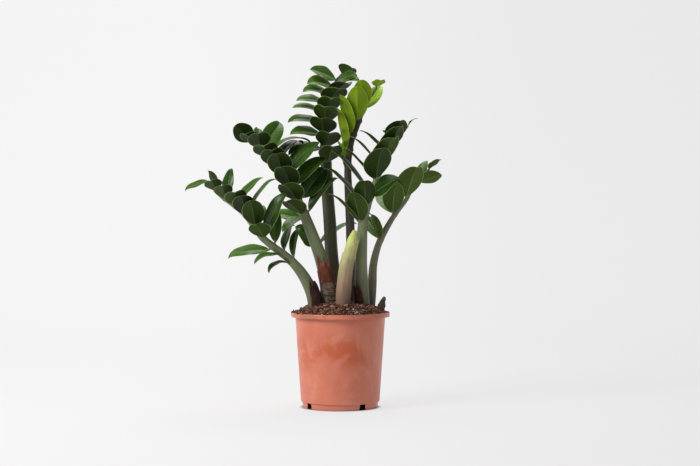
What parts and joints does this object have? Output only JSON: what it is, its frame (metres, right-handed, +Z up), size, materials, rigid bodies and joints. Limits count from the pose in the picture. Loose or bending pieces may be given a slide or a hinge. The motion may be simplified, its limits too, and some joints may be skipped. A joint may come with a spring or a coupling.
{
  "type": "potted zz plant",
  "caption": "Potted zz plant: arching fleshy fronds with two rows of oval leaflets, standing in soil in a round tapered nursery pot.",
  "frame": {"origin": "centre of the pot's underside, on the surface it stands on", "axes": "+Z up along the pot's axis, +X to the viewer's right, -Y towards the front"},
  "size_m": [0.4358, 0.2346, 0.5904],
  "materials": {
    "pot_plastic": "satin",
    "potting_soil": "matte",
    "rhizome": "matte",
    "leaf_dark": "satin",
    "leaf_mid": "satin",
    "leaf_young": "satin",
    "stalk_green": "satin",
    "stalk_dark": "satin",
    "stalk_purple": "satin",
    "stalk_brown": "satin",
    "shoot_tip": "satin",
    "shoot_sheath": "matte",
    "sheath_red": "matte",
    "sheath_dark": "matte"
  },
  "bodies": {
    "root": {"left_low_stalk": "stalk_green", "left_low_leaflets_1": "leaf_dark", "left_low_leaflets_2": "leaf_dark", "left_low_leaflets_3": "leaf_dark", "left_low_leaflets_4": "leaf_dark", "left_low_leaflets_5": "leaf_dark", "left_low_leaflets_6": "leaf_dark", "left_low_leaflets_7": "leaf_dark", "left_low_leaflets_8": "leaf_dark", "left_low_leaflets_9": "leaf_dark", "left_high_stalk": "stalk_green", "left_high_leaflets_1": "leaf_dark", "left_high_leaflets_2": "leaf_dark", "left_high_leaflets_3": "leaf_dark", "left_high_leaflets_4": "leaf_dark", "left_high_leaflets_5": "leaf_dark", "left_high_leaflets_6": "leaf_dark", "left_high_leaflets_7": "leaf_dark", "left_high_leaflets_8": "leaf_dark", "tall_stalk": "stalk_dark", "tall_leaflets_1": "leaf_mid", "tall_leaflets_2": "leaf_mid", "tall_leaflets_3": "leaf_mid", "tall_leaflets_4": "leaf_mid", "tall_leaflets_5": "leaf_mid", "tall_leaflets_6": "leaf_mid", "tall_leaflets_7": "leaf_mid", "tall_leaflets_8": "leaf_mid", "tall_leaflets_9": "leaf_mid", "young_stalk": "stalk_purple", "young_leaflets_1": "leaf_young", "young_leaflets_2": "leaf_young", "young_leaflets_3": "leaf_young", "young_leaflets_4": "leaf_young", "young_leaflets_5": "leaf_young", "centre_right_stalk": "stalk_green", "centre_right_leaflets_1": "leaf_dark", "centre_right_leaflets_2": "leaf_dark", "centre_right_leaflets_3": "leaf_dark", "centre_right_leaflets_4": "leaf_dark", "centre_right_leaflets_5": "leaf_dark", "centre_right_leaflets_6": "leaf_dark", "centre_right_leaflets_7": "leaf_dark", "right_stalk": "stalk_brown", "right_leaflets_1": "leaf_mid", "right_leaflets_2": "leaf_mid", "right_leaflets_3": "leaf_mid", "right_leaflets_4": "leaf_mid", "back_left_stalk": "stalk_green", "back_left_leaflets_1": "leaf_dark", "back_left_leaflets_2": "leaf_dark", "new_shoot": "shoot_tip", "new_shoot_sheath": "shoot_sheath", "side_sprout": "shoot_sheath", "crown_sheath": "sheath_red", "left_sheath": "sheath_dark", "right_sheath": "sheath_red", "pot": "pot_plastic", "rhizome": "rhizome", "potting_soil": "potting_soil"}
  },
  "joints": []
}
